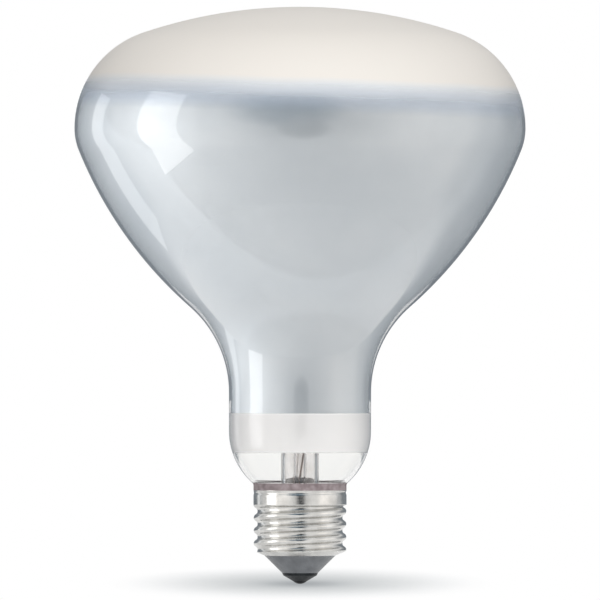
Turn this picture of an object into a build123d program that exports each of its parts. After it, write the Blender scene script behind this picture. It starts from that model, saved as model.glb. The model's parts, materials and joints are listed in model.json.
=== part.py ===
"""Mirrored reflector bulb, 127 mm, with LED filaments on a glass stem and an E27 screw cap.

Millimetres. +Z runs up the bulb's axis, from the centre contact to the frosted crown.
The origin is the tip of the centre contact.
"""

import os
from math import asin, cos, radians, sin, sqrt, tan

from build123d import *

os.makedirs("parts", exist_ok=True)

# Blown bulb: its outside is a run of tangent arcs from the crown down to the seal
bulb_diameter = 127.0
bowl_rise = 85.3
crown_radius = 138.0
shoulder_radius = 28.4
belly_radius = 16.6
belly_turn = 22.0
flank_lean = 48.8
neck_fillet = 32.0
neck_diameter = 40.0
throat_radius = 19.4
throat_turn = 48.6
seal_diameter = 23.8
seal_rise = 0.2
glass_wall = 0.8

# Vapour-deposited mirror on the inside of the bowl
mirror_foot = 5.0
mirror_rise = 14.2
mirror_coat = 0.2

# Glass stem: flare, tube and flattened press, with the exhaust tube inside it
stem_diameter = 10.6
stem_wall = 0.9
flare_rise = 4.6
flare_lift = 1.2
flare_waist = 7.4
press_width = 11.0
press_thickness = 4.0
stem_length = 28.4
press_height = 9.0
press_shrink = 5.5
exhaust_diameter = 3.6
exhaust_wall = 0.6
exhaust_drop = 3.0
exhaust_grip = 2.0

# Support rod with its button, and the wires that carry the light source
rod_diameter = 4.0
rod_length = 30.0
button_diameter = 7.0
button_height = 5.0
button_chamfer = 1.2
button_grip = 2.2
support_bend = 2.5
seal_wire = 0.5
seal_pin_length = 5.0
carrier_wire = 0.8
lead_spread = 2.7
carrier_rise = 5.0
weld_gap = 0.05

# LED filaments: coated strips that stand round the rod
filament_length = 32.0
filament_width = 2.4
filament_thickness = 1.8
tab_length = 3.0
tab_width = 1.4
tab_thickness = 0.3
filament_reach = 8.0
filament_round = 0.7
bar_overhang = 1.5

# E27 screw cap: a rolled shell with a knuckle thread
thread_pitch = 3.629
thread_crest_diameter = 26.06
knuckle_radius = 1.025
thread_land = 0.5
thread_height = 14.4
thread_lead = 0.2
thread_grip = 0.8
runout_rise = 1.3
ridge_sink = 0.6
crest_flats = 3
thread_phase = 180.0
shell_wall = 0.25
collar_diameter = 26.2
collar_width = 2.6
collar_step = 0.6
collar_groove = 0.2
rim_width = 1.4
lip_diameter = 20.0
bead_rise = 1.32

# Insulator, contact and solder at the foot of the cap
insulator_cone = 4.9
insulator_rise = 2.8
insulator_bore = 3.2
contact_diameter = 10.1
contact_height = 3.1
contact_edge = 0.7
contact_taper = 0.3
contact_nose_diameter = 3.8
contact_nose_height = 0.75
contact_sheet = 0.4
contact_hole = 2.4
solder_plug_height = 1.7

# Driver in the cap
board_width = 17.0
board_height = 9.4
board_thickness = 1.0
board_gap = 0.7
board_front = 2.7
capacitor_diameter = 6.3
capacitor_length = 8.4
capacitor_crimp = 0.3
capacitor_x = 5.4
resistor_diameter = 2.3
resistor_length = 5.6
resistor_neck = 0.8
resistor_waist = 0.2
resistor_clear = 1.0
resistor_x = -4.6
choke_diameter = 6.0
choke_length = 3.8
choke_flange = 0.7
choke_waist = 3.6
choke_margin = 0.3
choke_x = -4.0
choke_rise = 4.5
chip_length = 4.8
chip_width = 3.8
chip_thickness = 1.5
chip_leg = 0.4
chip_x = 3.6
rectifier_rise = 6.8
chip_rise = 1.9
driver_wire = 0.5
part_gap = 0.05

# Heights that follow, stacked up from the tip of the centre contact
lip_height = contact_height + insulator_cone
thread_start = lip_height - thread_lead
thread_runout = lip_height + runout_rise
collar_low = lip_height + thread_height
collar_high = collar_low + collar_width
cap_rim_height = collar_high + rim_width
thread_turns = (collar_low + thread_grip - thread_start) / thread_pitch
insulator_top = lip_height + insulator_rise
board_low = insulator_top + board_gap
seal_height = collar_low + seal_rise
press_low = seal_height + stem_length
press_top = press_low + press_height
tube_top = press_low - press_shrink
button_centre = press_top + rod_length

# Sizes that follow from the ones above
collar_radius = collar_diameter / 2
bulb_radius = bulb_diameter / 2
neck_radius = neck_diameter / 2
seal_radius = seal_diameter / 2
throat_angle = radians(throat_turn)
throat_drop = throat_radius * sin(throat_angle)
throat_reach = neck_radius - throat_radius * (1 - cos(throat_angle))
bead_fillet = (throat_reach - collar_radius) / (1 - cos(throat_angle))
bead_z = cap_rim_height + bead_rise
neck_end_height = bead_z + bead_fillet * sin(throat_angle) + throat_drop
cone_foot = neck_end_height - throat_drop - (throat_reach - seal_radius) / tan(throat_angle)
widest_height = neck_end_height + bowl_rise
mirror_low = neck_end_height + mirror_foot
mirror_high = widest_height + mirror_rise
crown_turn = asin((bulb_radius - shoulder_radius) / (crown_radius - shoulder_radius))
crown_centre = widest_height - sqrt(
    (crown_radius - shoulder_radius) ** 2 - (bulb_radius - shoulder_radius) ** 2
)
belly_angle = radians(belly_turn)
flank_angle = radians(flank_lean)
flank_radius = (
    bulb_radius
    - neck_radius
    - belly_radius * (1 - cos(belly_angle))
    - neck_fillet * (1 - cos(flank_angle))
) / (cos(belly_angle) - cos(flank_angle))
flank_centre_x = bulb_radius - belly_radius + (belly_radius - flank_radius) * cos(belly_angle)
flank_centre_z = widest_height + (flank_radius - belly_radius) * sin(belly_angle)
neck_top = flank_centre_z - (flank_radius + neck_fillet) * sin(flank_angle)

stem_radius = stem_diameter / 2
tube_inside = stem_radius - stem_wall
exhaust_radius = exhaust_diameter / 2
flare_radius = seal_radius - glass_wall
bar_reach = filament_reach - tab_thickness / 2 - weld_gap - carrier_wire / 2
bar_inside = bar_reach - carrier_wire - weld_gap
bar_length = 2 * (filament_reach + bar_overhang)
bar_low = press_top + carrier_rise
filament_low = bar_low + tab_length / 2
bar_high = filament_low + filament_length + tab_length / 2

crest_radius = thread_crest_diameter / 2
flank_turn = asin(thread_pitch / 4 / knuckle_radius)
root_radius = crest_radius - 2 * knuckle_radius * (1 - cos(flank_turn))
land_radius = root_radius + knuckle_radius - sqrt(knuckle_radius**2 - (thread_land / 2) ** 2)
lip_radius = lip_diameter / 2
contact_radius = contact_diameter / 2
dome_radius = ((contact_nose_diameter / 2) ** 2 + contact_nose_height**2) / (2 * contact_nose_height)
dome_edge = asin(contact_nose_diameter / 2 / dome_radius) - radians(90)
board_back = board_front + board_thickness


def save(piece, name):
    piece.label = name
    export_step(piece, f"parts/{name}.step")


def on_arc(x, z, radius, angle):
    return (x + radius * cos(angle), z + radius * sin(angle))


def arc_about(x, z, radius, start, end):
    points = [on_arc(x, z, radius, a) for a in (start, (start + end) / 2, end)]
    return ThreePointArc(*points)


def bulb_side(inset):
    """The bulb's side from the crown to the neck, this far inside its outer face."""
    quarter = radians(90)
    crown = arc_about(0, crown_centre, crown_radius - inset, quarter, quarter - crown_turn)
    arc_about(
        bulb_radius - shoulder_radius, widest_height, shoulder_radius - inset, quarter - crown_turn, 0
    )
    arc_about(bulb_radius - belly_radius, widest_height, belly_radius - inset, 0, -belly_angle)
    arc_about(flank_centre_x, flank_centre_z, flank_radius - inset, -belly_angle, -flank_angle)
    fillet = arc_about(
        neck_radius + neck_fillet, neck_top, -(neck_fillet + inset), -flank_angle, 0
    )
    neck = Line(fillet @ 1, (neck_radius - inset, neck_end_height))
    return crown @ 0, neck @ 1


def throat_side(inset):
    """The neck's closing curve and its cone down to the seal, this far inside its outer face."""
    throat = arc_about(
        neck_radius - throat_radius, neck_end_height, throat_radius - inset, 0, -throat_angle
    )
    corner = (seal_radius - inset, cone_foot + inset * tan(throat_angle / 2))
    cone = Polyline(throat @ 1, corner, (seal_radius - inset, seal_height))
    return throat @ 0, cone @ 1


def wire_along(points, diameter, bend):
    """A round wire along straight runs with bent corners."""
    with BuildPart() as wire:
        with BuildLine() as path:
            FilletPolyline(*points, radius=bend)
        with BuildSketch(Plane(origin=path.line @ 0, z_dir=path.line % 0)):
            Circle(diameter / 2)
        sweep()
    return wire.part


def shell_outline(inset):
    """The cap shell's outline from its lip to its rim, this far inside its outer face."""
    lip_x = lip_radius - inset * sqrt(2)
    wall_x = land_radius - inset
    collar_x = collar_radius - inset
    groove_height = (cap_rim_height - collar_high) / 2
    return [
        (lip_x, lip_height),
        (wall_x, lip_height + wall_x - lip_x),
        (wall_x, collar_low - collar_step),
        (collar_x, collar_low),
        (collar_x, collar_high),
        (collar_x - collar_groove, collar_high + groove_height / 2),
        (collar_x, collar_high + groove_height),
        (collar_x, cap_rim_height),
    ]


def helical_ridge(wall):
    """The knuckle thread's ridge, this far inside its outer face, run out at the lip.

    The crest's arc is drawn as a few flats, so that the mesh of this fine thread stays light.
    """
    crest_x = crest_radius - knuckle_radius
    hollow = knuckle_radius + wall
    foot_turn = asin(thread_land / 2 / hollow)
    foot_x = root_radius + knuckle_radius - hollow * cos(foot_turn)
    foot_z = (thread_pitch - thread_land) / 2
    base_x = root_radius - ridge_sink
    steps = [flank_turn * (2 * index / crest_flats - 1) for index in range(crest_flats + 1)]
    crest = [on_arc(crest_x, thread_start, knuckle_radius - wall, turn) for turn in steps]
    with BuildPart() as thread_ridge:
        with BuildLine() as helix:
            Helix(thread_pitch, thread_pitch * thread_turns, crest_radius, center=(0, 0, thread_start))
        with BuildSketch(Plane.XZ):
            with BuildLine():
                Polyline(
                    (base_x, thread_start - foot_z),
                    (foot_x, thread_start - foot_z),
                    *crest,
                    (foot_x, thread_start + foot_z),
                    (base_x, thread_start + foot_z),
                    close=True,
                )
            make_face()
        sweep(path=helix.line, is_frenet=True)
        with BuildSketch(Plane.XZ):
            with BuildLine():
                lip_x = lip_radius - wall * sqrt(2)
                Polyline(
                    (lip_x, lip_height),
                    (crest_radius + lip_x - lip_radius, thread_runout),
                    (crest_radius + thread_pitch, thread_runout),
                    (crest_radius + thread_pitch, 0),
                    (0, 0),
                    (0, lip_height),
                    close=True,
                )
            make_face()
        revolve(axis=Axis.Z, mode=Mode.SUBTRACT)
    return thread_ridge.part.rotate(Axis.Z, thread_phase)


# Blown glass bulb, one wall from the crown to the seal
with BuildPart() as glass_envelope:
    with BuildSketch(Plane.XZ):
        with BuildLine():
            outer_top, _ = bulb_side(0)
            inner_top, _ = bulb_side(glass_wall)
            _, outer_end = throat_side(0)
            _, inner_end = throat_side(glass_wall)
            Line(outer_top, inner_top)
            Line(outer_end, inner_end)
        make_face()
    revolve(axis=Axis.Z)
save(glass_envelope.part, "glass_envelope")

# Mirror coat, laid on the inner face between its two edges
with BuildPart() as mirror_coating:
    with BuildSketch(Plane.XZ):
        with BuildLine():
            coat_out, neck_out = bulb_side(glass_wall)
            coat_in, neck_in = bulb_side(glass_wall + mirror_coat)
            Line(coat_out, coat_in)
            Line(neck_out, neck_in)
        make_face()
        with Locations((bulb_radius / 2, (mirror_low + mirror_high) / 2)):
            Rectangle(bulb_radius, mirror_high - mirror_low, mode=Mode.INTERSECT)
    revolve(axis=Axis.Z)
save(mirror_coating.part, "mirror_coating")

# Stem glass: the flare meets the bulb's seal, and the press closes on the wires
with BuildPart() as stem_glass:
    with BuildSketch(Plane.XZ):
        with BuildLine():
            Polyline(
                (stem_radius, tube_top),
                (stem_radius, seal_height + flare_rise),
                (flare_waist, seal_height + flare_lift + stem_wall),
                (flare_radius, seal_height + stem_wall),
                (flare_radius, seal_height),
                (flare_waist - stem_wall, seal_height + flare_lift),
                (tube_inside, seal_height + flare_rise),
                (tube_inside, tube_top),
                close=True,
            )
        make_face()
    revolve(axis=Axis.Z)
    with BuildSketch(Plane.XY.offset(tube_top)):
        Circle(stem_radius)
    with BuildSketch(Plane.XY.offset(press_low)):
        RectangleRounded(press_width, press_thickness, press_thickness * 0.45)
    loft()
    with BuildSketch(Plane.XY.offset(tube_top)):
        Circle(tube_inside)
    with BuildSketch(Plane.XY.offset(press_low - stem_wall)):
        RectangleRounded(
            press_width - 2 * stem_wall, press_thickness - 2 * stem_wall, press_thickness * 0.25
        )
    loft(mode=Mode.SUBTRACT)
    with BuildSketch(Plane.XY.offset(press_low)):
        RectangleRounded(press_width, press_thickness, press_thickness * 0.45)
    extrude(amount=press_height)
    with BuildSketch(Plane.XY.offset(press_low + exhaust_grip)):
        Circle(exhaust_radius)
    extrude(amount=-(press_shrink + exhaust_grip), mode=Mode.SUBTRACT)
    with BuildSketch(Plane.XY.offset(press_low - stem_wall)):
        with Locations((-lead_spread, 0), (lead_spread, 0)):
            Circle(seal_wire / 2)
    extrude(amount=stem_wall + press_height - seal_pin_length, mode=Mode.SUBTRACT)
    with BuildSketch(Plane.XY.offset(press_top - seal_pin_length)):
        with Locations((-lead_spread, 0), (lead_spread, 0)):
            Circle(carrier_wire / 2)
    extrude(amount=seal_pin_length, mode=Mode.SUBTRACT)
save(stem_glass.part, "stem_glass")

# Exhaust tube, closed at its lower end where it was tipped off
with BuildPart() as exhaust_tube:
    with BuildSketch(Plane.XZ):
        with BuildLine():
            exhaust_top = press_low + exhaust_grip
            tip_z = seal_height - exhaust_drop + exhaust_radius
            outer_tip = arc_about(0, tip_z, exhaust_radius, 0, -radians(90))
            inner_tip = arc_about(0, tip_z, exhaust_radius - exhaust_wall, -radians(90), 0)
            Line(outer_tip @ 1, inner_tip @ 0)
            Polyline(
                inner_tip @ 1,
                (exhaust_radius - exhaust_wall, exhaust_top),
                (exhaust_radius, exhaust_top),
                outer_tip @ 0,
            )
        make_face()
    revolve(axis=Axis.Z)
save(exhaust_tube.part, "exhaust_tube")

# Support rod with a button at its top that grips the two support wires
with BuildPart() as support_rod:
    with BuildSketch(Plane.XY.offset(press_top)):
        Circle(rod_diameter / 2)
    extrude(amount=rod_length)
    with BuildSketch(Plane.XY.offset(button_centre - button_height / 2)):
        Circle(button_diameter / 2)
    extrude(amount=button_height)
    chamfer(support_rod.edges().filter_by(GeomType.CIRCLE).sort_by(SortBy.RADIUS)[-2:], button_chamfer)
    for side in (1, -1):
        with BuildSketch(Plane.XZ.offset(side * (button_diameter / 2 - button_grip))):
            with Locations((0, button_centre)):
                Circle(carrier_wire / 2)
        extrude(amount=side * button_grip * 2, mode=Mode.SUBTRACT)
save(support_rod.part, "support_rod")

# Bars that the filaments' tabs are welded to, two below and two above
for side, name in ((1, "a"), (-1, "b")):
    with BuildPart() as lower_bar:
        with BuildSketch(Plane.XZ.offset(-bar_length / 2)):
            with Locations((side * bar_reach, bar_low)):
                Circle(carrier_wire / 2)
        extrude(amount=bar_length)
    save(lower_bar.part, f"lower_bar_{name}")
    with BuildPart() as upper_bar:
        with BuildSketch(Plane.YZ.offset(-bar_length / 2)):
            with Locations((side * bar_reach, bar_high)):
                Circle(carrier_wire / 2)
        extrude(amount=bar_length)
    save(upper_bar.part, f"upper_bar_{name}")

# Carrier wires out of the press to the lower bars, and support wires from the button to the upper
for side, name in ((1, "a"), (-1, "b")):
    carrier = wire_along(
        [
            (side * lead_spread, 0, press_top - seal_pin_length),
            (side * lead_spread, 0, press_top + carrier_wire * 2),
            (side * bar_inside, 0, bar_low - carrier_wire * 2),
            (side * bar_inside, 0, bar_low + carrier_wire),
        ],
        carrier_wire,
        carrier_wire,
    )
    save(carrier, f"carrier_wire_{name}")
    support = wire_along(
        [
            (0, side * (button_diameter / 2 - button_grip), button_centre),
            (0, side * bar_inside, button_centre),
            (0, side * bar_inside, bar_high + carrier_wire),
        ],
        carrier_wire,
        support_bend,
    )
    save(support, f"support_wire_{name}")

# LED filaments with their phosphor coat, and the metal tabs at their ends
tab_parts = []
corners = [(1, 1), (-1, 1), (-1, -1), (1, -1)]
for index, (side_x, side_y) in enumerate(corners):
    foot = Plane((side_x * filament_reach, side_y * filament_reach, filament_low))
    with BuildPart() as led_filament:
        with BuildSketch(foot):
            RectangleRounded(filament_thickness, filament_width, filament_round)
        extrude(amount=filament_length)
    save(led_filament.part, f"led_filament_{index + 1}")
    with BuildPart() as lower_tab:
        with BuildSketch(foot):
            Rectangle(tab_thickness, tab_width)
        extrude(amount=-tab_length)
    with BuildPart() as upper_tab:
        with BuildSketch(foot.offset(filament_length)):
            Rectangle(tab_width, tab_thickness)
        extrude(amount=tab_length)
    tab_parts += [lower_tab.part, upper_tab.part]
save(Compound(children=tab_parts), "filament_tabs")

# Lead-in wires: seal pins in the press, then down through the stem tube to the driver board
lead_bend = 1.5
lead_y = board_front - seal_wire / 2 - part_gap
lead_runs = {
    "a": [
        (1.0, -3.1, seal_height + 14.4),
        (-0.3, -3.1, seal_height + 5.4),
        (-1.4, -2.7, seal_height - 1.1),
        (-1.5, -2.4, board_low + 6.0),
        (-1.2, lead_y, board_low + 4.0),
    ],
    "b": [
        (-0.8, 2.9, seal_height + 14.9),
        (-2.0, 3.0, seal_height + 4.9),
        (-2.4, lead_y, seal_height - 1.1),
        (-2.0, lead_y, board_low + 7.4),
    ],
}
for side, name in ((1, "a"), (-1, "b")):
    pin_top = press_top - seal_pin_length
    pin_low = press_low - stem_wall
    lead = wire_along(
        [
            (side * lead_spread, 0, pin_top),
            (side * lead_spread, 0, pin_low - lead_bend),
            *lead_runs[name],
        ],
        seal_wire,
        lead_bend,
    )
    save(lead, f"lead_wire_{name}")

# Cement that holds the bulb in the cap, with its bead above the rim
with BuildPart() as cement_ring:
    with BuildSketch(Plane.XZ):
        with BuildLine():
            bead = arc_about(collar_radius + bead_fillet, bead_z, -bead_fillet, -throat_angle, 0)
            Polyline(
                bead @ 1,
                (collar_radius, cap_rim_height),
                *reversed(shell_outline(shell_wall)[-4:]),
                (collar_radius - shell_wall, seal_height),
                (seal_radius, seal_height),
                (seal_radius, cone_foot),
                bead @ 0,
            )
        make_face()
    revolve(axis=Axis.Z)
save(cement_ring.part, "cement_ring")

# Rolled cap shell, its thread pressed through the sheet inside and out
with BuildPart() as cap_shell:
    with BuildSketch(Plane.XZ):
        with BuildLine():
            Polyline((0, lip_height), *shell_outline(0), (0, cap_rim_height), close=True)
        make_face()
    revolve(axis=Axis.Z)
    add(helical_ridge(0))
    with BuildSketch(Plane.XZ):
        with BuildLine():
            Polyline((0, lip_height), *shell_outline(shell_wall), (0, cap_rim_height), close=True)
        make_face()
    revolve(axis=Axis.Z, mode=Mode.SUBTRACT)
    add(helical_ridge(shell_wall), mode=Mode.SUBTRACT)
save(cap_shell.part, "cap_shell")

# Pressed insulator that closes the shell's foot, with a bore for the centre wire
contact_line = [
    (contact_radius, contact_height),
    (contact_radius - contact_taper, contact_height - contact_edge),
    (contact_nose_diameter / 2, contact_nose_height),
]
nose_line = [
    (contact_radius - contact_sheet, contact_height),
    (contact_radius - contact_taper - contact_sheet, contact_height - contact_edge + contact_sheet / 2),
    (contact_nose_diameter / 2, contact_nose_height + contact_sheet),
]
with BuildPart() as cap_insulator:
    with BuildSketch(Plane.XZ):
        with BuildLine():
            Polyline(
                contact_line[0],
                (lip_radius, lip_height),
                *shell_outline(shell_wall)[:2],
                (land_radius - shell_wall, insulator_top),
                (insulator_bore / 2, insulator_top),
                (insulator_bore / 2, nose_line[2][1]),
                *reversed(nose_line),
                close=True,
            )
        make_face()
    revolve(axis=Axis.Z)
save(cap_insulator.part, "cap_insulator")

# Dished contact plate under the insulator, and the solder that fills its eyelet
with BuildPart() as contact_plate:
    with BuildSketch(Plane.XZ):
        with BuildLine():
            Polyline(
                *contact_line,
                (contact_hole / 2, contact_nose_height),
                (contact_hole / 2, contact_nose_height + contact_sheet),
                *reversed(nose_line),
                close=True,
            )
        make_face()
    revolve(axis=Axis.Z)
save(contact_plate.part, "contact_plate")

with BuildPart() as contact_solder:
    with BuildSketch(Plane.XZ):
        with BuildLine():
            dome = arc_about(0, dome_radius, dome_radius, -radians(90), dome_edge)
            Polyline(
                dome @ 1,
                (contact_hole / 2, contact_nose_height),
                (contact_hole / 2, solder_plug_height),
                (0, solder_plug_height),
                dome @ 0,
            )
        make_face()
    revolve(axis=Axis.Z)
save(contact_solder.part, "contact_solder")

# Driver board, standing upright behind the exhaust tip
board_mid_y = (board_front + board_back) / 2
board_top = board_low + board_height
with BuildPart() as driver_board:
    with BuildSketch(Plane.XY.offset(board_low)):
        with Locations((0, board_mid_y)):
            Rectangle(board_width, board_thickness)
    extrude(amount=board_height)
save(driver_board.part, "driver_board")

# Smoothing capacitor: a can with a crimped groove near its foot
with BuildPart() as smoothing_capacitor:
    can_radius = capacitor_diameter / 2
    groove_z = board_low + capacitor_length * 0.14
    with BuildSketch(Plane.XY.offset(board_low)):
        with Locations((capacitor_x, board_front - can_radius - part_gap)):
            Circle(can_radius)
    extrude(amount=capacitor_length)
    chamfer(smoothing_capacitor.edges().group_by(Axis.Z)[-1], capacitor_crimp)
    with BuildSketch(Plane.XY.offset(groove_z)):
        with Locations((capacitor_x, board_front - can_radius - part_gap)):
            Circle(can_radius)
            Circle(can_radius - capacitor_crimp, mode=Mode.SUBTRACT)
    extrude(amount=capacitor_crimp * 2, mode=Mode.SUBTRACT)
save(smoothing_capacitor.part, "smoothing_capacitor")

# Fusible resistor: a body with wider ends, its lower wire running down to the contact
resistor_y = board_front - resistor_diameter / 2 - part_gap
resistor_low = board_low + resistor_clear
with BuildPart() as fuse_resistor:
    with BuildSketch(Plane.XY.offset(resistor_low)):
        with Locations((resistor_x, resistor_y)):
            Circle(resistor_diameter / 2 - resistor_waist)
    extrude(amount=resistor_length)
    for end in (resistor_low, resistor_low + resistor_length - resistor_neck):
        with BuildSketch(Plane.XY.offset(end)):
            with Locations((resistor_x, resistor_y)):
                Circle(resistor_diameter / 2)
        extrude(amount=resistor_neck)
save(fuse_resistor.part, "fuse_resistor")

centre_wire = wire_along(
    [
        (resistor_x, resistor_y, resistor_low),
        (resistor_x, resistor_y, insulator_top + driver_wire),
        (0, 0, insulator_top + driver_wire),
        (0, 0, solder_plug_height),
    ],
    driver_wire,
    driver_wire,
)
save(centre_wire, "centre_wire")

# Choke: a ferrite drum behind the board, with its winding in the waist
choke_plane = Plane((choke_x, board_back, board_low + choke_rise), x_dir=(1, 0, 0), z_dir=(0, 1, 0))
with BuildPart() as choke_core:
    with BuildSketch(choke_plane):
        Circle(choke_waist / 2)
    extrude(amount=choke_length)
    for end in (0, choke_length - choke_flange):
        with BuildSketch(choke_plane.offset(end)):
            Circle(choke_diameter / 2)
        extrude(amount=choke_flange)
save(choke_core.part, "choke_core")

with BuildPart() as choke_winding:
    with BuildSketch(choke_plane.offset(choke_flange)):
        Circle(choke_diameter / 2 - choke_margin)
        Circle(choke_waist / 2, mode=Mode.SUBTRACT)
    extrude(amount=choke_length - 2 * choke_flange)
save(choke_winding.part, "choke_winding")

# Rectifier and driver chip on the board's back, each a moulded body with four bent legs
for name, rise in (("bridge_rectifier", rectifier_rise), ("driver_chip", chip_rise)):
    chip_centre = (chip_x, board_back + chip_leg, board_low + rise)
    chip_plane = Plane(chip_centre, x_dir=(1, 0, 0), z_dir=(0, 1, 0))
    with BuildPart() as chip:
        with BuildSketch(chip_plane):
            Rectangle(chip_width, chip_length - 2 * chip_leg)
        extrude(amount=chip_thickness)
        chamfer(chip.faces().sort_by(Axis.Y)[-1].edges(), chip_leg / 2)
        with BuildSketch(chip_plane):
            with GridLocations(chip_width * 0.6, chip_length - chip_leg, 2, 2):
                Rectangle(chip_leg, chip_leg)
        extrude(amount=chip_thickness / 2)
        with BuildSketch(chip_plane):
            with GridLocations(chip_width * 0.6, chip_length - chip_leg, 2, 2):
                Rectangle(chip_leg, chip_leg)
        extrude(amount=-chip_leg)
    save(chip.part, name)

# Wire from the board's edge to the inside of the shell
shell_wire_x = shell_wall + driver_wire - land_radius
shell_wire = wire_along(
    [
        (-board_width / 2 - driver_wire / 2, board_mid_y, board_top - driver_wire),
        (-board_width / 2 - driver_wire * 2, board_mid_y, board_top - driver_wire),
        (shell_wire_x, board_mid_y, board_top - driver_wire * 5),
    ],
    driver_wire,
    driver_wire,
)
save(shell_wire, "shell_wire")
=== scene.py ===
# Mirrored reflector bulb with an E27 cap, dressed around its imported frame.
# Metres. +Z runs up the bulb's axis and the camera looks along +Y.

import json
import math

import bpy
from mathutils import Matrix, Vector


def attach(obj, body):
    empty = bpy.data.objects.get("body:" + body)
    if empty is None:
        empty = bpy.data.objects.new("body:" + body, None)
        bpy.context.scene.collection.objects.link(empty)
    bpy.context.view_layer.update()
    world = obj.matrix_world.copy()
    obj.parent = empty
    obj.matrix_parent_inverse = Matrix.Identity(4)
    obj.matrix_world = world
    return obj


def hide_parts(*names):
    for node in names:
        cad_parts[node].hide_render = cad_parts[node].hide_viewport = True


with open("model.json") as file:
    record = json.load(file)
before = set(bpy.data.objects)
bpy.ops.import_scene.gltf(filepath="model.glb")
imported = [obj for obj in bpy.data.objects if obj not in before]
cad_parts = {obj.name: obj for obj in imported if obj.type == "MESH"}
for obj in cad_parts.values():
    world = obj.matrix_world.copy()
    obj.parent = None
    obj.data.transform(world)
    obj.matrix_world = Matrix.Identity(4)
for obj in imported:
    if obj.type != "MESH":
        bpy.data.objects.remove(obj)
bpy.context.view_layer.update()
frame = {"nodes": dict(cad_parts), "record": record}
scene = bpy.context.scene
millimetre = 0.001
print("frame loaded:", len(frame["nodes"]), "nodes")


# Small tools


def clearSelection():
    if bpy.context.object and bpy.context.object.mode != "OBJECT":
        bpy.ops.object.mode_set(mode="OBJECT")
    bpy.ops.object.select_all(action="DESELECT")


def arcPoints(x, z, radius, start, end, count):
    # points on an arc about (x, z), with angles in degrees
    turns = [math.radians(start + (end - start) * i / count) for i in range(count + 1)]
    return [(x + radius * math.cos(t), z + radius * math.sin(t)) for t in turns]


def turnPiece(name, outline, closed, steps):
    # one vertex is drawn out along the outline (mm), then spun round the axis
    clearSelection()
    bpy.ops.mesh.primitive_plane_add(size=millimetre)
    piece = bpy.context.object
    piece.name = name
    bpy.ops.object.mode_set(mode="EDIT")
    bpy.ops.mesh.select_all(action="SELECT")
    bpy.ops.mesh.merge(type="CENTER")
    points = [Vector((x, 0, z)) * millimetre for x, z in outline]
    if closed:
        points.append(points[0].copy())
    bpy.ops.transform.translate(value=points[0])
    for last, point in zip(points, points[1:]):
        bpy.ops.mesh.extrude_region_move(TRANSFORM_OT_translate={"value": point - last})
    bpy.ops.mesh.select_all(action="SELECT")
    bpy.ops.mesh.spin(steps=steps, angle=math.tau, center=(0, 0, 0), axis=(0, 0, 1))
    bpy.ops.mesh.select_all(action="SELECT")
    bpy.ops.mesh.remove_doubles(threshold=0.002 * millimetre)
    bpy.ops.mesh.normals_make_consistent(inside=False)
    bpy.ops.object.mode_set(mode="OBJECT")
    return piece


def smoothPiece(piece, angle=35):
    clearSelection()
    piece.select_set(True)
    bpy.context.view_layer.objects.active = piece
    bpy.ops.object.shade_smooth_by_angle(angle=math.radians(angle))


def dressPiece(piece, node, material):
    # the piece stands for its CAD node and takes that node's slot
    piece.data.materials.clear()
    piece.data.materials.append(material)
    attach(piece, "root")
    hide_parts(node)


def hexColour(code):
    channels = [int(code[i : i + 2], 16) / 255 for i in (1, 3, 5)]
    linear = [c / 12.92 if c <= 0.04045 else ((c + 0.055) / 1.055) ** 2.4 for c in channels]
    return (*linear, 1.0)


def newMaterial(name):
    material = bpy.data.materials.new(name)
    material.use_nodes = True
    material.node_tree.nodes.clear()
    return material


def addNode(owner, kind, settings=None, **links):
    # settings are node properties, socket values or a ramp's stops
    # links are the sockets to join, by name with _ for a space or by number
    tree = owner.node_tree
    node = tree.nodes.new(kind)
    for key, value in (settings or {}).items():
        if key == "stops":
            setStops(node.color_ramp.elements, value)
        elif isinstance(key, str) and hasattr(node, key):
            setattr(node, key, value)
        else:
            node.inputs[key].default_value = value
    for key, socket in links.items():
        place = int(key[2:]) if key.startswith("in") and key[2:].isdigit() else key.replace("_", " ")
        tree.links.new(socket, node.inputs[place])
    return node


def setStops(elements, stops):
    while len(elements) < len(stops):
        elements.new(0.5)
    for element, (place, colour) in zip(elements, stops):
        element.position = place
        element.color = colour


def perLump(sizeMm):
    # the noise scale that makes lumps about this many millimetres across
    return 1 / (sizeMm * millimetre)


# The bulb's own sizes, as the frame has them

bulb = {
    "radius": 63.5,
    "widestHeight": 128.3,
    "crownRadius": 138.0,
    "shoulderRadius": 28.4,
    "bellyRadius": 16.6,
    "bellyTurn": 22.0,
    "flankLean": 48.8,
    "neckFillet": 32.0,
    "neckRadius": 20.0,
    "neckEnd": 43.0,
    "throatRadius": 19.4,
    "throatTurn": 48.6,
    "sealRadius": 11.9,
    "sealHeight": 22.6,
    "wall": 0.8,
    "film": 0.2,
    "filmGap": 0.004,
    "filmLow": 48.0,
    "filmHigh": 142.5,
    "frostLow": 132.0,
    "frostHigh": 142.0,
    "frostTilt": -0.031,
    "steps": 160,
}


# how many steps each arc is drawn in
arcSteps = {
    "crown": 14,
    "shoulder": 26,
    "belly": 8,
    "flank": 24,
    "fillet": 18,
    "throat": 14,
    "bead": 12,
    "solder": 10,
}


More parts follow.
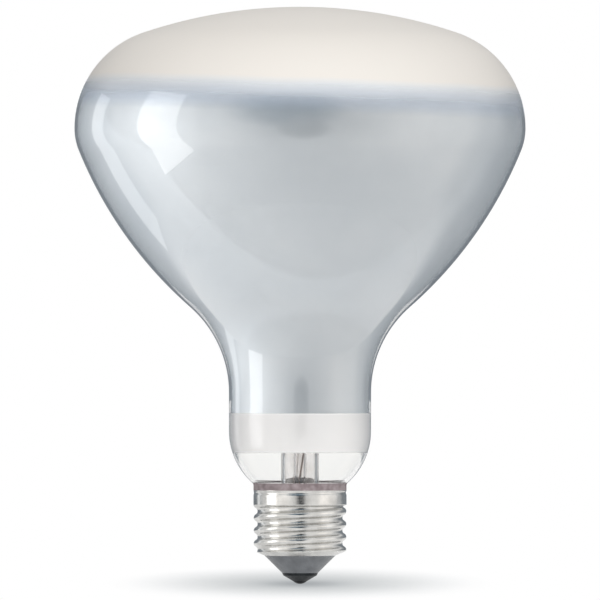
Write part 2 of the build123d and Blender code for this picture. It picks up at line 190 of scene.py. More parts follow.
def bulbSide(inset):
    # the side from the crown to the neck's foot, this far inside the outer face
    b = bulb
    belly = math.radians(b["bellyTurn"])
    lean = math.radians(b["flankLean"])
    middle = b["radius"] - b["shoulderRadius"]
    crownTurn = math.asin(middle / (b["crownRadius"] - b["shoulderRadius"]))
    crownMiddle = b["widestHeight"] - middle / math.tan(crownTurn)
    flankRadius = (
        b["radius"]
        - b["neckRadius"]
        - b["bellyRadius"] * (1 - math.cos(belly))
        - b["neckFillet"] * (1 - math.cos(lean))
    ) / (math.cos(belly) - math.cos(lean))
    flankX = b["radius"] - b["bellyRadius"] + (b["bellyRadius"] - flankRadius) * math.cos(belly)
    flankZ = b["widestHeight"] + (flankRadius - b["bellyRadius"]) * math.sin(belly)
    neckTop = flankZ - (flankRadius + b["neckFillet"]) * math.sin(lean)
    crownEnd = 90 - math.degrees(crownTurn)
    n = arcSteps
    side = arcPoints(0, crownMiddle, b["crownRadius"] - inset, 90, crownEnd, n["crown"])
    side[0] = (0, side[0][1])
    side += arcPoints(middle, b["widestHeight"], b["shoulderRadius"] - inset, crownEnd, 0, n["shoulder"])[1:]
    bellyX = b["radius"] - b["bellyRadius"]
    side += arcPoints(bellyX, b["widestHeight"], b["bellyRadius"] - inset, 0, -b["bellyTurn"], n["belly"])[1:]
    side += arcPoints(flankX, flankZ, flankRadius - inset, -b["bellyTurn"], -b["flankLean"], n["flank"])[1:]
    filletX = b["neckRadius"] + b["neckFillet"]
    side += arcPoints(filletX, neckTop, -(b["neckFillet"] + inset), -b["flankLean"], 0, n["fillet"])[1:]
    return side


def throatSide(inset):
    # the neck's closing curve and its cone down to the seal
    b = bulb
    turn = math.radians(b["throatTurn"])
    throatX = b["neckRadius"] - b["throatRadius"]
    count = arcSteps["throat"]
    side = arcPoints(throatX, b["neckEnd"], b["throatRadius"] - inset, 0, -b["throatTurn"], count)
    reach = b["neckRadius"] - b["throatRadius"] * (1 - math.cos(turn))
    drop = b["throatRadius"] * math.sin(turn)
    coneFoot = b["neckEnd"] - drop - (reach - b["sealRadius"]) / math.tan(turn)
    side.append((b["sealRadius"] - inset, coneFoot + inset * math.tan(turn / 2)))
    side.append((b["sealRadius"] - inset, b["sealHeight"]))
    return side


# Camera: level, far back and long, so that the bulb's outline stays true

camera = {"distance": 4.0, "viewWidth": 0.16895, "aimHeight": 0.07994, "sensor": 36.0}


def placeCamera():
    lens = camera["sensor"] * camera["distance"] / camera["viewWidth"]
    clearSelection()
    bpy.ops.object.camera_add(
        location=(0, -camera["distance"], camera["aimHeight"]), rotation=(math.radians(90), 0, 0)
    )
    view = bpy.context.object
    view.name = "camera"
    view.data.sensor_width = camera["sensor"]
    view.data.lens = lens
    view.data.clip_end = 20
    scene.camera = view


placeCamera()
print("camera placed")


# Materials

smooth = {"interpolation_type": "SMOOTHSTEP"}

# heights, lumps and depths in millimetres
glassLook = {
    "bandHigh": 48.0,
    "bandLow": 37.1,
    "sharp": 0.25,
    "waveLump": 30,
    "edgeWave": 0.2,
    "grainLump": 0.35,
    "grainDepth": 0.02,
    "etchedFrom": 0.5,
    "band": "#fefdfc",
    "bandRough": 0.34,
    "frostRough": 0.5,
    "frostCover": 0.9,
    "bandCover": 0.5,
}


# how much the frost covers, and its tone, from the lowest haze to the full etch
frostCover = [(0.0, 0.0), (0.2, 0.06), (0.4, 0.2), (0.6, 0.55), (0.77, 0.8), (0.9, 0.95), (1.0, 1.0)]
frostTones = [(0.0, "#fefefd"), (0.3, "#f1f5fa"), (0.6, "#edf2f8"), (0.8, "#eff2f5"), (1.0, "#f6f1ea")]


def envelopeGlass():
    # Soda-lime glass, blown: clear and glossy, etched to a cream frost over the crown, whitened on the neck
    own = newMaterial("sodaLimeGlass")
    look = glassLook
    place = addNode(own, "ShaderNodeTexCoord").outputs["Object"]
    split = addNode(own, "ShaderNodeSeparateXYZ", in0=place).outputs

    # the frost's edge dips slightly to one side and thins out over a few millimetres
    tilt = {"operation": "MULTIPLY_ADD", 1: -bulb["frostTilt"]}
    lean = addNode(own, "ShaderNodeMath", tilt, in0=split["X"], in2=split["Z"]).outputs[0]
    ripple = {"Scale": perLump(look["waveLump"]), "Detail": 1.0}
    drift = addNode(own, "ShaderNodeTexNoise", ripple, Vector=place).outputs[0]
    swing = look["edgeWave"] * millimetre
    sway = {**smooth, 1: 0.3, 2: 0.7, 3: -swing, 4: swing}
    wave = addNode(own, "ShaderNodeMapRange", sway, in0=drift).outputs[0]
    edge = addNode(own, "ShaderNodeMath", {"operation": "ADD"}, in0=lean, in1=wave).outputs[0]
    climb = {1: bulb["frostLow"] * millimetre, 2: bulb["frostHigh"] * millimetre}
    height = addNode(own, "ShaderNodeMapRange", climb, in0=edge).outputs[0]
    coverStops = [(share, (much, much, much, 1)) for share, much in frostCover]
    cover = addNode(own, "ShaderNodeValToRGB", {"stops": coverStops}, in0=height).outputs[0]
    frostStops = [(share, hexColour(tone)) for share, tone in frostTones]
    frost = addNode(own, "ShaderNodeValToRGB", {"stops": frostStops}, in0=height).outputs[0]
    etched = {**smooth, 1: look["etchedFrom"], 2: 1.0}
    dome = addNode(own, "ShaderNodeMapRange", etched, in0=height).outputs[0]

    # the neck's white band ends sharply at its top and its foot
    top, foot, sharp = (look[key] * millimetre for key in ("bandHigh", "bandLow", "sharp"))
    under = {**smooth, 1: top, 2: top + sharp, 3: 1.0, 4: 0.0}
    belowTop = addNode(own, "ShaderNodeMapRange", under, in0=split["Z"]).outputs[0]
    over = {**smooth, 1: foot - sharp, 2: foot + sharp}
    aboveFoot = addNode(own, "ShaderNodeMapRange", over, in0=split["Z"]).outputs[0]
    band = addNode(own, "ShaderNodeMath", {"operation": "MULTIPLY"}, in0=belowTop, in1=aboveFoot).outputs[0]
    bandTone = {"data_type": "RGBA", 7: hexColour(look["band"])}
    tint = addNode(own, "ShaderNodeMix", bandTone, in0=band, in6=frost).outputs[2]

    # roughness and the share that passes through, from the frost and the band together
    bandDull = {"operation": "MULTIPLY", 1: look["bandRough"]}
    bandRough = addNode(own, "ShaderNodeMath", bandDull, in0=band).outputs[0]
    frostDull = {"operation": "MULTIPLY_ADD", 1: look["frostRough"]}
    rough = addNode(own, "ShaderNodeMath", frostDull, in0=dome, in2=bandRough).outputs[0]
    frostWhite = {"operation": "MULTIPLY_ADD", 1: -look["frostCover"], 2: 1.0}
    clear = addNode(own, "ShaderNodeMath", frostWhite, in0=cover).outputs[0]
    bandWhite = {"operation": "MULTIPLY_ADD", 1: -look["bandCover"]}
    passing = addNode(own, "ShaderNodeMath", bandWhite, in0=band, in2=clear).outputs[0]

    # the etch's grain is drawn coarser than the real one, so that it shows
    speckle = {"Scale": perLump(look["grainLump"]), "Detail": 2.0}
    speck = addNode(own, "ShaderNodeTexNoise", speckle, Vector=place).outputs[0]
    grain = addNode(own, "ShaderNodeMath", {"operation": "MULTIPLY"}, in0=speck, in1=dome).outputs[0]
    depth = {"Strength": 0.5, "Distance": look["grainDepth"] * millimetre}
    glass = addNode(
        own,
        "ShaderNodeBsdfPrincipled",
        {"IOR": 1.52},
        Base_Color=tint,
        Roughness=rough,
        Transmission_Weight=passing,
        Coat_Weight=band,
        Normal=addNode(own, "ShaderNodeBump", depth, Height=grain).outputs[0],
    )
    lampRay = addNode(own, "ShaderNodeLightPath").outputs["Is Shadow Ray"]
    lampShare = addNode(own, "ShaderNodeMath", {"operation": "MULTIPLY"}, in0=lampRay, in1=passing).outputs[0]
    gap = addNode(own, "ShaderNodeBsdfTransparent").outputs[0]
    both = addNode(own, "ShaderNodeMixShader", in0=lampShare, in1=glass.outputs[0], in2=gap)
    addNode(own, "ShaderNodeOutputMaterial", Surface=both.outputs[0])
    return own


filmLook = {"tones": ("#d4dae0", "#dce1e6"), "cloudLump": 22, "grainLump": 0.6, "rough": (0.52, 0.6)}


def aluminiumFilm():
    # Vapour-deposited aluminium behind glass: a satin, cool silver that spreads what it mirrors
    own = newMaterial("vapourAluminium")
    look = filmLook
    place = addNode(own, "ShaderNodeTexCoord").outputs["Object"]
    clouds = {"Scale": perLump(look["cloudLump"]), "Detail": 3.0}
    cloud = addNode(own, "ShaderNodeTexNoise", clouds, Vector=place).outputs[0]
    dark, light = (hexColour(tone) for tone in look["tones"])
    tone = addNode(own, "ShaderNodeValToRGB", {"stops": [(0.3, dark), (0.7, light)]}, in0=cloud).outputs[0]
    grains = {"Scale": perLump(look["grainLump"]), "Detail": 2.0}
    fine = addNode(own, "ShaderNodeTexNoise", grains, Vector=place).outputs[0]
    low, high = look["rough"]
    satin = {**smooth, 1: 0.2, 2: 0.8, 3: low, 4: high}
    rough = addNode(own, "ShaderNodeMapRange", satin, in0=fine).outputs[0]
    film = addNode(own, "ShaderNodeBsdfPrincipled", {"Metallic": 1.0}, Base_Color=tone, Roughness=rough)
    addNode(own, "ShaderNodeOutputMaterial", Surface=film.outputs[0])
    return own


stemLook = {
    "light": "#fbfafa",
    # edge: painted shade, the grey that the tube's colour turns to at its sides
    "edge": "#8f8a89",
    "edgeShadeFrom": 0.5,
    "edgeShadeTo": 0.85,
    "streakLump": 3,
    "wave": 0.05,
}


def clearGlass(name, tint):
    # Lead-free stem glass: clear, faintly grey, glossy from the flame
    own = newMaterial(name)
    look = stemLook
    place = addNode(own, "ShaderNodeTexCoord").outputs["Object"]
    streaks = {"Scale": perLump(look["streakLump"]), "Detail": 2.0}
    streak = addNode(own, "ShaderNodeTexNoise", streaks, Vector=place).outputs[0]
    stops = [(0.3, hexColour(tint)), (0.7, hexColour(look["light"]))]
    colour = addNode(own, "ShaderNodeValToRGB", {"stops": stops}, in0=streak).outputs[0]
    # painted shade: the colour turns grey towards the tube's sides, where its wall is seen edge-on
    facing = addNode(own, "ShaderNodeLayerWeight").outputs["Facing"]
    turned = {**smooth, 1: look["edgeShadeFrom"], 2: look["edgeShadeTo"]}
    side = addNode(own, "ShaderNodeMapRange", turned, in0=facing).outputs[0]
    edgeShadeTone = {"data_type": "RGBA", 7: hexColour(look["edge"])}
    paintedShadeColour = addNode(own, "ShaderNodeMix", edgeShadeTone, in0=side, in6=colour).outputs[2]
    depth = {"Strength": 0.3, "Distance": look["wave"] * millimetre}
    glass = addNode(
        own,
        "ShaderNodeBsdfPrincipled",
        {"IOR": 1.5, "Roughness": 0.02, "Transmission Weight": 1.0},
        Base_Color=paintedShadeColour,
        Normal=addNode(own, "ShaderNodeBump", depth, Height=streak).outputs[0],
    )
    lampRay = addNode(own, "ShaderNodeLightPath").outputs["Is Shadow Ray"]
    gap = addNode(own, "ShaderNodeBsdfTransparent")
    both = addNode(own, "ShaderNodeMixShader", in0=lampRay, in1=glass.outputs[0], in2=gap.outputs[0])
    addNode(own, "ShaderNodeOutputMaterial", Surface=both.outputs[0])
    return own


def plainFinish(name, tones, lump, rough, metallic=0.0, grain=0.4, relief=0.01):
    # two near tones in soft lumps, uneven gloss, and a fine grain in relief
    own = newMaterial(name)
    place = addNode(own, "ShaderNodeTexCoord").outputs["Object"]
    clouds = {"Scale": perLump(lump), "Detail": 4.0}
    cloud = addNode(own, "ShaderNodeTexNoise", clouds, Vector=place).outputs[0]
    stops = [(share, hexColour(tone)) for share, tone in zip((0.3, 0.7), tones)]
    grains = {"Scale": perLump(grain), "Detail": 3.0}
    fine = addNode(own, "ShaderNodeTexNoise", grains, Vector=place).outputs[0]
    low, high = rough
    spread = {**smooth, 1: 0.25, 2: 0.75, 3: low, 4: high}
    depth = {"Strength": 0.6, "Distance": relief * millimetre}
    surface = addNode(
        own,
        "ShaderNodeBsdfPrincipled",
        {"Metallic": metallic},
        Base_Color=addNode(own, "ShaderNodeValToRGB", {"stops": stops}, in0=cloud).outputs[0],
        Roughness=addNode(own, "ShaderNodeMapRange", spread, in0=fine).outputs[0],
        Normal=addNode(own, "ShaderNodeBump", depth, Height=fine).outputs[0],
    )
    addNode(own, "ShaderNodeOutputMaterial", Surface=surface.outputs[0])
    return own


# lumps, grain and relief in millimetres, and the least and the most roughness
finishTable = {
    # rolled nickel-plated sheet: bright, with fine drawing marks
    "cap_metal": {
        "name": "nickelPlatedSheet", "tones": ("#b9b8b5", "#d8d7d4"), "lump": 4, "rough": (0.12, 0.24),
        "metallic": 1.0, "grain": 0.5, "relief": 0.004,
    },
    # drawn nickel wire: grey, soft gloss
    "nickel_wire": {
        "name": "drawnNickelWire", "tones": ("#9a9894", "#bdbbb6"), "lump": 2, "rough": (0.25, 0.4),
        "metallic": 1.0,
    },
    # copper-clad lead wire: dull, browned by the flame
    "lead_wire": {
        "name": "copperCladWire", "tones": ("#5a4a42", "#8b7466"), "lump": 1.5, "rough": (0.35, 0.5),
        "metallic": 1.0,
    },
    # phosphor silicone: matte warm yellow, slightly grainy
    "phosphor": {
        "name": "phosphorSilicone", "tones": ("#e0a437", "#f0c25a"), "lump": 1.2, "rough": (0.55, 0.7),
        "grain": 0.25, "relief": 0.03,
    },
    # baked lamp cement: dull brown, crumbly
    "cement": {
        "name": "bakedCement", "tones": ("#7b6e70", "#a09496"), "lump": 1.6, "rough": (0.75, 0.95),
        "grain": 0.5, "relief": 0.12,
    },
    # grey pressed insulator: smooth with a slight sheen
    "insulator": {
        "name": "pressedInsulator", "tones": ("#55585c", "#6a6d71"), "lump": 3, "rough": (0.28, 0.4),
        "grain": 0.3,
    },
    # plated brass, painted near black for the shade under the cap, with a soft metal sheen
    "contact_metal": {
        "name": "darkenedBrass", "tones": ("#26292b", "#36393b"), "lump": 1.5, "rough": (0.35, 0.5),
        "metallic": 1.0,
    },
    # solder painted dark for the shade under the cap, rounded where it set
    "solder": {
        "name": "darkSolder", "tones": ("#191c1e", "#26292b"), "lump": 0.8, "rough": (0.3, 0.45),
        "metallic": 1.0,
    },
    # glass-fibre board with a green mask
    "board": {
        "name": "greenSolderMask", "tones": ("#1f5a34", "#2c6e42"), "lump": 2, "rough": (0.35, 0.5),
    },
    # heat-shrunk sleeve over the can: dark, tight and slightly glossy
    "capacitor_can": {
        "name": "shrinkSleeve", "tones": ("#191a1f", "#2a2b31"), "lump": 2, "rough": (0.3, 0.42),
    },
    # flameproof cement coat: dull green
    "resistor_coat": {
        "name": "flameproofCoat", "tones": ("#5f7d5a", "#77936f"), "lump": 0.8, "rough": (0.6, 0.8),
    },
    # sintered ferrite: matte, dark grey and finely grained
    "ferrite": {
        "name": "sinteredFerrite", "tones": ("#191919", "#2b2a29"), "lump": 0.6, "rough": (0.55, 0.75),
    },
    # enamelled copper wire: brown and glossy
    "enamelled_copper": {
        "name": "enamelledCopper", "tones": ("#8a4a26", "#a96237"), "lump": 0.6, "rough": (0.2, 0.35),
        "metallic": 0.8,
    },
    # moulded epoxy: black and dull
    "chip_plastic": {
        "name": "mouldedEpoxy", "tones": ("#131314", "#232325"), "lump": 0.8, "rough": (0.5, 0.65),
    },
}
finishes = {slot: plainFinish(**row) for slot, row in finishTable.items()}
finishes["stem_glass"] = clearGlass("stemGlass", "#f3f1f0")
finishes["support_glass"] = clearGlass("drawnRodGlass", "#d7dbda")
finishes["envelope_glass"] = envelopeGlass()
finishes["mirror_film"] = aluminiumFilm()
print("materials made")


# Glass bulb and the film on its inner face


def makeEnvelope():
    wall = bulb["wall"]
    outer = bulbSide(0) + throatSide(0)
    inner = bulbSide(wall) + throatSide(wall)
    piece = turnPiece("glassEnvelope", outer + inner[::-1], False, bulb["steps"])
    smoothPiece(piece, 50)
    dressPiece(piece, "glass_envelope", finishes["envelope_glass"])


def makeFilm():
    def between(points):
        # the stretch of a side between the film's two edges
        low, high = bulb["filmLow"], bulb["filmHigh"]
        kept = []
        for (x0, z0), (x1, z1) in zip(points, points[1:]):
            for edge in (high, low):
                if (z0 - edge) * (z1 - edge) < 0:
                    share = (edge - z0) / (z1 - z0)
                    kept.append((x0 + (x1 - x0) * share, edge))
            if low < z1 < high:
                kept.append((x1, z1))
        return kept

    wall = bulb["wall"] + bulb["filmGap"]  # stays clear of the glass by a hair
    back = bulb["wall"] + bulb["film"]
    outer = between(bulbSide(wall) + [(bulb["neckRadius"] - wall, bulb["neckEnd"])])
    inner = between(bulbSide(back) + [(bulb["neckRadius"] - back, bulb["neckEnd"])])
    piece = turnPiece("mirrorFilm", outer + inner[::-1], True, bulb["steps"])
    smoothPiece(piece, 50)
    dressPiece(piece, "mirror_coating", finishes["mirror_film"])


makeEnvelope()
makeFilm()
print("bulb and film made")


# Cap shell: one thin sheet, its knuckle thread pressed through

cap = {
    "pitch": 3.629,
    "crestRadius": 13.03,
    "knuckle": 1.025,
    "land": 0.5,
    "firstCrest": 7.8,
    "wall": 0.25,
    "collarRadius": 13.1,
    "collarLow": 22.4,
    "collarStep": 0.6,
    "collarSink": 1.1,
    "collarHigh": 25.0,
    "groove": 0.2,
    "rim": 26.4,
    "lipRadius": 10.0,
    "lipHeight": 8.0,
    "runoutHeight": 9.3,
    "lipBlend": 0.5,
    "collarBlend": 0.15,
    "ringGap": 0.13,
    "steps": 168,
}


def softMax(a, b, blend):
    # the larger of two radii, rounded where they cross
    h = max(0.0, min(1.0, 0.5 + 0.5 * (a - b) / blend))
    return b + (a - b) * h + blend * h * (1 - h)


def threadRadius(angle, z):
    # a right-handed knuckle thread: crests and roots of one radius, with a short land in the root
    c = cap
    quarter = c["pitch"] / 4
    flank = math.asin(quarter / c["knuckle"])
    root = c["crestRadius"] - 2 * c["knuckle"] * (1 - math.cos(flank))
    turn = (angle - math.pi) / math.tau
    along = (z - c["firstCrest"] - turn * c["pitch"]) / c["pitch"]
    away = abs(along - round(along)) * c["pitch"]
    if away <= quarter:
        return c["crestRadius"] - c["knuckle"] + math.sqrt(c["knuckle"] ** 2 - away**2)
    fromRoot = max(2 * quarter - away, c["land"] / 2)
    return root + c["knuckle"] - math.sqrt(c["knuckle"] ** 2 - fromRoot**2)


def collarRadiusAt(z):
    # the plain collar above the thread, with a rounded step below it and a groove near the rim
    c = cap
    low = c["collarLow"] - c["collarStep"]
    if z < low:
        return 0.0
    if z < c["collarLow"]:
        share = math.sin((z - low) / c["collarStep"] * math.pi / 2)
        start = c["crestRadius"] - c["collarSink"]
        return start + (c["collarRadius"] - start) * share
    if z < c["collarHigh"]:
        return c["collarRadius"]
    share = (z - c["collarHigh"]) / (c["rim"] - c["collarHigh"])
    return c["collarRadius"] - c["groove"] * math.sin(share * math.pi) ** 2


def makeCapShell():
    c = cap
    rings = round((c["rim"] - c["lipHeight"]) / c["ringGap"])
    heights = [c["lipHeight"] + (c["rim"] - c["lipHeight"]) * i / rings for i in range(rings + 1)]
    piece = turnPiece("capShell", [(c["crestRadius"], z) for z in heights], False, c["steps"])
    slope = (c["crestRadius"] - c["lipRadius"]) / (c["runoutHeight"] - c["lipHeight"])
    for vertex in piece.data.vertices:  # the plain tube is pressed into its thread, collar and lip
        x, y, z = vertex.co / millimetre
        angle = math.atan2(y, x)
        lip = c["lipRadius"] + (z - c["lipHeight"]) * slope
        radius = -softMax(-threadRadius(angle, z), -lip, c["lipBlend"])
        radius = max(radius, min(lip, c["lipRadius"]))
        collar = collarRadiusAt(z)
        if collar:
            radius = softMax(radius, collar, c["collarBlend"])
        radius = min(radius, c["collarRadius"])
        vertex.co = Vector((radius * math.cos(angle), radius * math.sin(angle), z)) * millimetre
    clearSelection()
    piece.select_set(True)
    bpy.context.view_layer.objects.active = piece
    sheet = piece.modifiers.new("sheet", "SOLIDIFY")
    sheet.thickness = c["wall"] * millimetre
    sheet.offset = -1
    bpy.ops.object.modifier_apply(modifier="sheet")
    smoothPiece(piece, 60)
    dressPiece(piece, "cap_shell", finishes["cap_metal"])


makeCapShell()
print("cap shell made")


# Cement bead between the glass and the cap

cement = {"rim": 26.4, "outer": 13.1, "inner": 12.85, "steps": 128}


def makeCement():
    b = bulb
    turn = math.radians(b["throatTurn"])
    reach = b["neckRadius"] - b["throatRadius"] * (1 - math.cos(turn))
    touch = b["neckEnd"] - b["throatRadius"] * math.sin(turn)
    fillet = (reach - cement["outer"]) / (1 - math.cos(turn))
    foot = touch - fillet * math.sin(turn)
    coneFoot = touch - (reach - b["sealRadius"]) / math.tan(turn)
    bead = arcPoints(cement["outer"] + fillet, foot, -fillet, -b["throatTurn"], 0, arcSteps["bead"])
    outline = bead + [
        (cement["outer"], cement["rim"]),
        (cement["inner"], cement["rim"]),
        (cement["inner"], b["sealHeight"]),
        (b["sealRadius"], b["sealHeight"]),
        (b["sealRadius"], coneFoot),
    ]
    piece = turnPiece("cementBead", outline, True, cement["steps"])
    smoothPiece(piece, 40)
    dressPiece(piece, "cement_ring", finishes["cement"])


makeCement()
print("cement bead made")


# Foot of the cap: insulator, contact and solder

foot = {
    "wallRadius": 11.71,
    "top": 10.8,
    "bore": 1.6,
    "contactRadius": 5.05,
    "contactHeight": 3.1,
    "edge": 0.7,
    "taper": 0.3,
    "noseRadius": 1.9,
    "noseHeight": 0.75,
    "sheet": 0.4,
    "hole": 1.2,
    "plugTop": 1.7,
    "steps": 96,
}


def makeFoot():
    f = foot
    c = cap
    lipInside = c["lipRadius"] - c["wall"] * math.sqrt(2)
    under = [
        (f["contactRadius"] - f["sheet"], f["contactHeight"]),
        (f["contactRadius"] - f["taper"] - f["sheet"], f["contactHeight"] - f["edge"] + f["sheet"] / 2),
        (f["noseRadius"], f["noseHeight"] + f["sheet"]),
    ]
    insulator = [
        (f["contactRadius"], f["contactHeight"]),
        (c["lipRadius"], c["lipHeight"]),
        (lipInside, c["lipHeight"]),
        (f["wallRadius"], c["lipHeight"] + f["wallRadius"] - lipInside),
        (f["wallRadius"], f["top"]),
        (f["bore"], f["top"]),
        (f["bore"], under[2][1]),
        *reversed(under),
    ]
    piece = turnPiece("capInsulator", insulator, True, f["steps"])
    smoothPiece(piece, 25)
    dressPiece(piece, "cap_insulator", finishes["insulator"])
    plate = [
        (f["contactRadius"], f["contactHeight"]),
        (f["contactRadius"] - f["taper"], f["contactHeight"] - f["edge"]),
        (f["noseRadius"], f["noseHeight"]),
        (f["hole"], f["noseHeight"]),
        (f["hole"], f["noseHeight"] + f["sheet"]),
        *reversed(under),
    ]
    piece = turnPiece("contactPlate", plate, True, f["steps"])
    smoothPiece(piece, 25)
    dressPiece(piece, "contact_plate", finishes["contact_metal"])
    domeRadius = (f["noseRadius"] ** 2 + f["noseHeight"] ** 2) / (2 * f["noseHeight"])
    rise = math.degrees(math.asin(f["noseRadius"] / domeRadius))
    dome = arcPoints(0, domeRadius, domeRadius, -90, rise - 90, arcSteps["solder"])
    dome[0] = (0, 0)
    plug = dome + [(f["hole"], f["noseHeight"]), (f["hole"], f["plugTop"]), (0, f["plugTop"])]
    piece = turnPiece("contactSolder", plug, False, f["steps"])
    smoothPiece(piece, 35)
    dressPiece(piece, "contact_solder", finishes["solder"])


makeFoot()
print("foot of the cap made")


# Stem: flare and tube, flattened to the press at its top

stem = {
    "radius": 5.3,
    "wall": 0.9,
    "flareRise": 4.6,
    "flareLift": 1.2,
    "flareWaist": 7.4,
    "tubeTop": 45.5,
    "pressLow": 51.0,
    "pressTop": 60.0,
    "pressWidth": 11.0,
    "pressThick": 4.0,
    "pressEdge": 0.6,
    "pinchSteps": 8,
    "exhaustRadius": 1.8,
    "exhaustWall": 0.6,
    "exhaustTip": 19.6,
    "exhaustTop": 53.0,
    "exhaustSteps": 48,
    "tipSteps": 8,
    "steps": 72,
}


def makeStem():
    s = stem
    low = bulb["sealHeight"]
    edge = bulb["sealRadius"] - bulb["wall"]
    inside = s["radius"] - s["wall"]
    count = s["pinchSteps"]
    pinch = [s["tubeTop"] + (s["pressLow"] - s["tubeTop"]) * i / count for i in range(count + 1)]
    outline = [
        (0, s["pressTop"]),
        (s["radius"] - s["pressEdge"], s["pressTop"]),
        (s["radius"], s["pressTop"] - s["pressEdge"]),
        *[(s["radius"], z) for z in reversed(pinch)],
        (s["radius"], low + s["flareRise"]),
        (s["flareWaist"], low + s["flareLift"] + s["wall"]),
        (edge, low + s["wall"]),
        (edge, low),
        (s["flareWaist"] - s["wall"], low + s["flareLift"]),
        (inside, low + s["flareRise"]),
        *[(inside, z) for z in pinch[:-1]],
        (0, s["pressLow"] - s["wall"]),
    ]
    piece = turnPiece("stemGlass", outline, False, s["steps"])
    for vertex in piece.data.vertices:  # the press jaws' pinch
        share = (vertex.co.z / millimetre - s["tubeTop"]) / (s["pressLow"] - s["tubeTop"])
        share = max(0.0, min(1.0, share))
        share = share * share * (3 - 2 * share)
        vertex.co.x *= 1 + share * (s["pressWidth"] / 2 / s["radius"] - 1)
        vertex.co.y *= 1 + share * (s["pressThick"] / 2 / s["radius"] - 1)
    smoothPiece(piece, 50)
    dressPiece(piece, "stem_glass", finishes["stem_glass"])
    tip = s["exhaustTip"] + s["exhaustRadius"]
    bore = s["exhaustRadius"] - s["exhaustWall"]
    tube = arcPoints(0, tip, s["exhaustRadius"], -90, 0, s["tipSteps"])
    tube[0] = (0, tube[0][1])
    boreTip = arcPoints(0, tip, bore, 0, -90, s["tipSteps"])
    boreTip[-1] = (0, boreTip[-1][1])
    outline = tube + [(s["exhaustRadius"], s["exhaustTop"]), (bore, s["exhaustTop"])] + boreTip
    piece = turnPiece("exhaustTube", outline, False, s["exhaustSteps"])
    smoothPiece(piece, 50)
    dressPiece(piece, "exhaust_tube", finishes["stem_glass"])


makeStem()
print("stem made")


# Pieces whose CAD shape is right get their finish

slots = {entry["node"]: entry["material_slot"] for entry in frame["record"]["subparts"]}
for name, node in frame["nodes"].items():
    node.data.materials.clear()
    node.data.materials.append(finishes[slots[name]])
    for slotOfNode in node.material_slots:
        slotOfNode.link = "DATA"
print("frame pieces dressed")


# Studio, in metres: pale floor, three lamps, a grey wall round the sides, dark cards in front, a small
# white card behind the neck and a white surround

studio = {
    "floorTilt": 4.0,
    "floorRadius": 0.12,
    "floorDrop": 0.00002,
    "floorColour": "#f4f4f4",
    "floorGlow": 0.38,
    "shadeReach": 0.045,
    "surround": 0.42,
    "aim": (0, 0, 0.1),
}

# azimuth is counted from the camera's side, positive to the right; sizes in metres, power in watts
lampTable = {
    "keySoftbox": {"azimuth": -76.5, "elevation": -2, "distance": 0.8, "size": (0.36, 1.05), "power": 1.9},
    "rimStrip": {"azimuth": -124, "elevation": -8, "distance": 0.8, "size": (0.18, 0.8), "power": 0.36},
    "frontSoftbox": {"azimuth": 8, "elevation": 25, "distance": 1.2, "size": (0.6, 0.6), "power": 9},
}

# the grey wall's tone round the bulb, by azimuth in degrees
wallTones = [
    (-180, 0.25), (-140, 0.28), (-120, 0.45), (-104, 0.95), (-60, 1.3), (-38, 1.25), (-12, 1.0),
    (12, 1.0), (38, 1.1), (60, 1.42), (92, 1.2), (112, 0.7), (135, 0.32), (180, 0.22),
]
greyWall = {"radius": 0.9, "low": -0.65, "high": 0.55, "fade": 0.25, "steps": 72}
coolPowers = (1.08, 1.0, 0.92)  # a tone below 1 turns cool, and one above 1 warm

# black cards in front, thinning out to nothing towards their edges
cardTable = {
    "upperCard": {
        "azimuth": -7, "elevation": 22, "distance": 0.6, "size": (0.78, 0.52), "tone": (0.0, 0.1, 0.19),
    },
    "lowerCard": {
        "azimuth": 2, "elevation": -3, "distance": 0.55, "size": (0.3, 0.42), "tone": (0.07, 0.075, 0.08),
    },
}
cardCore = 0.35

# a small white card close behind the clear neck, seen only through its glass
neckCard = {"back": 0.14, "low": -0.06, "high": 0.05, "width": 0.15}


def standPlace(entry):
    turn = math.radians(entry["azimuth"])
    rise = math.radians(entry["elevation"])
    out = Vector((math.sin(turn) * math.cos(rise), -math.cos(turn) * math.cos(rise), math.sin(rise)))
    return Vector(studio["aim"]) + out * entry["distance"], out


def makeLamps():
    for name, entry in lampTable.items():
        place, out = standPlace(entry)
        clearSelection()
        bpy.ops.object.light_add(type="AREA", location=place, rotation=out.to_track_quat("Z", "Y").to_euler())
        lamp = bpy.context.object
        lamp.name = name
        lamp.data.shape = "RECTANGLE"
        lamp.data.size, lamp.data.size_y = entry["size"]
        lamp.data.energy = entry["power"]
        # the side lamps only show as gloss, the front one only as plain light
        front = name == "frontSoftbox"
        lamp.visible_diffuse = front
        lamp.visible_glossy = not front
        lamp.visible_transmission = not front


def standBy(piece, material):
    # a card that only shows in gloss and through glass
    piece.data.materials.append(material)
    piece.visible_camera = False
    piece.visible_shadow = False
    piece.visible_diffuse = False


